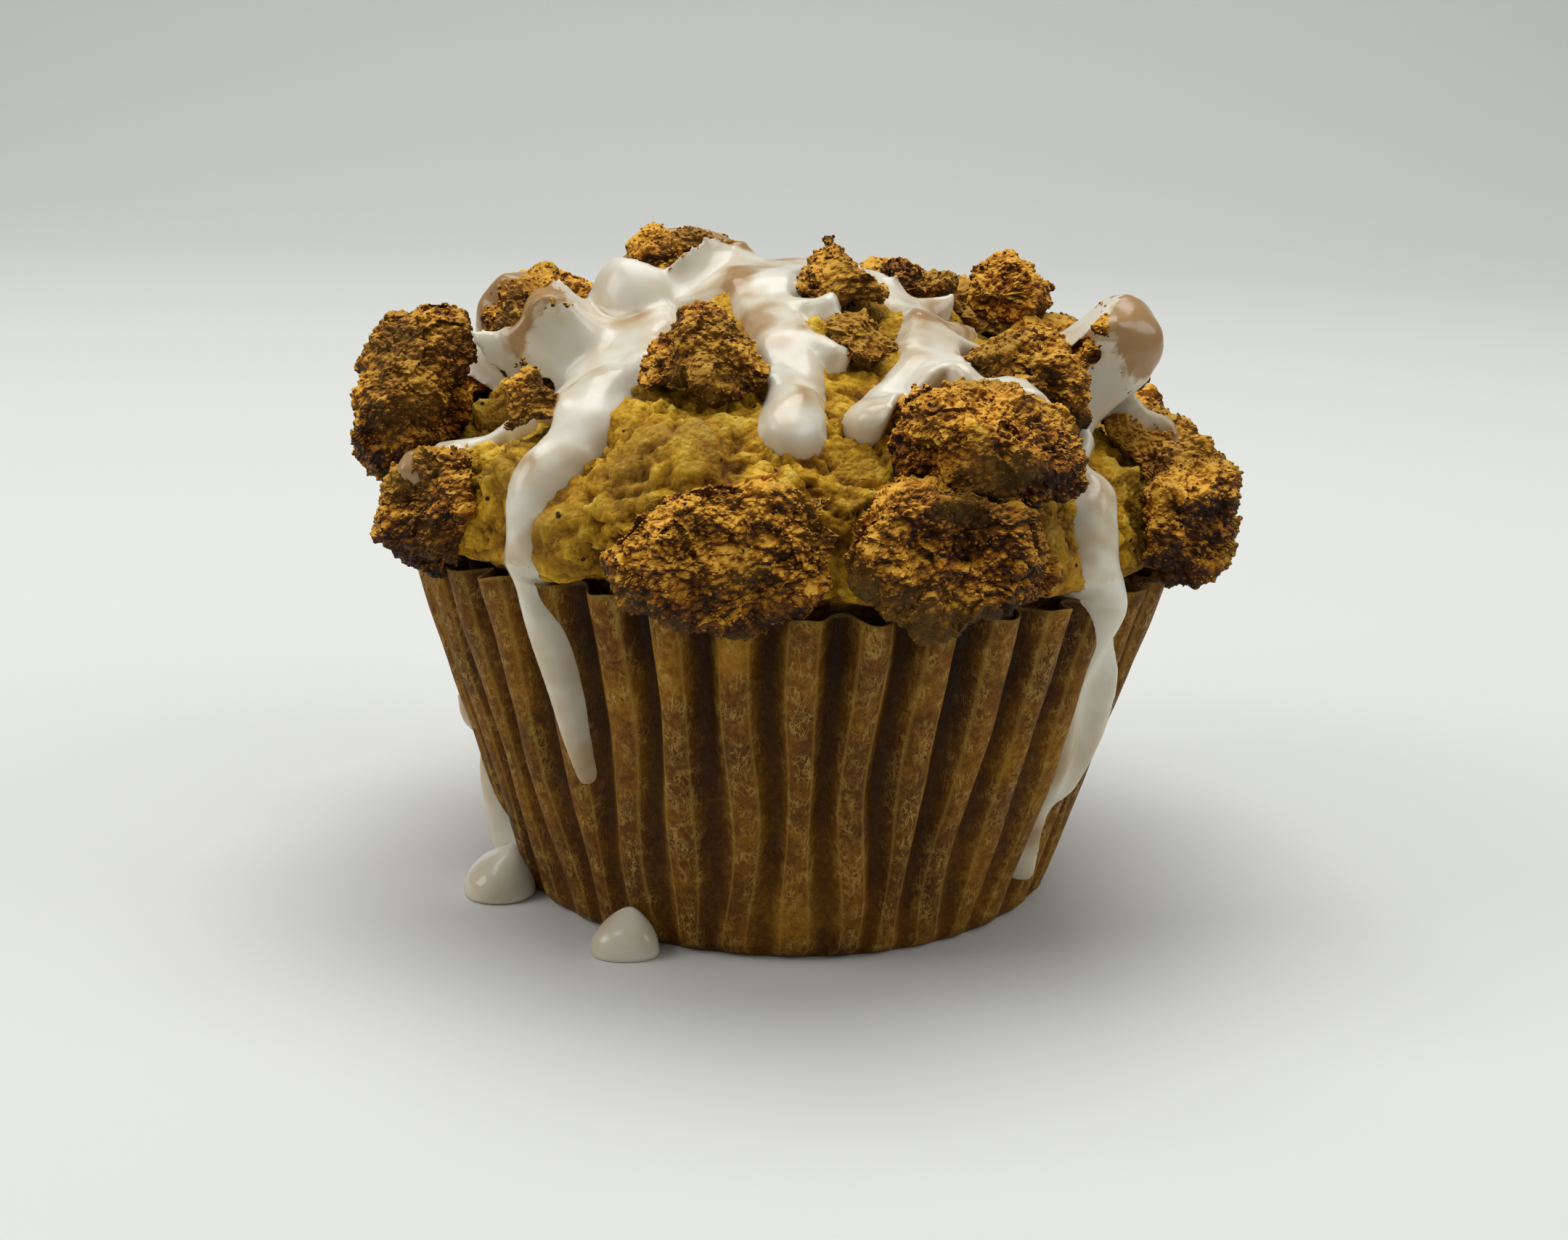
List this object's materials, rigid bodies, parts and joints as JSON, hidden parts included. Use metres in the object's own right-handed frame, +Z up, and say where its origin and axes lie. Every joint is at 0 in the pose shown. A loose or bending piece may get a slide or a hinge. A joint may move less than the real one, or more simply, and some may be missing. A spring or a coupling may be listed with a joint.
{
  "type": "muffin",
  "caption": "Domed cake in a pleated paper cup, topped with chunky crumbs and a poured white icing that drips down the sides.",
  "frame": {"origin": "middle of the paper case's flat base, on the table", "axes": "+Z up; -Y is the front, the side with the two long drips of icing; +X is to the right seen from the front"},
  "size_m": [0.079, 0.0791, 0.0611],
  "materials": {
    "paper": "matte, soaked with butter",
    "cake": "matte",
    "crumb": "grainy",
    "icing": "soft gloss"
  },
  "bodies": {
    "root": {"paper_case": "paper", "cake": "cake", "crumb_front_left": "crumb", "crumb_front_high": "crumb", "crumb_front_low": "crumb", "crumb_left_outer": "crumb", "crumb_left_rim": "crumb", "crumb_right_outer": "crumb", "crumb_centre": "crumb", "crumb_left_top": "crumb", "crumb_right_middle": "crumb", "crumb_right_top": "crumb", "crumb_peak": "crumb", "crumb_top_middle": "crumb", "crumb_below_top": "crumb", "crumb_top_right": "crumb", "crumb_small_left": "crumb", "crumb_small_top": "crumb", "crumb_right_slope": "crumb", "crumb_rim_1": "crumb", "crumb_rim_2": "crumb", "crumb_rim_3": "crumb", "crumb_rim_4": "crumb", "crumb_rim_5": "crumb", "crumb_rim_6": "crumb", "crumb_shoulder_1": "crumb", "crumb_shoulder_2": "crumb", "crumb_shoulder_3": "crumb", "crumb_shoulder_4": "crumb", "crumb_shoulder_5": "crumb", "crumb_crown_1": "crumb", "crumb_crown_2": "crumb", "icing": "icing", "icing_2": "icing", "icing_3": "icing", "icing_4": "icing", "icing_pool_left": "icing", "icing_pool_front": "icing"}
  },
  "joints": []
}
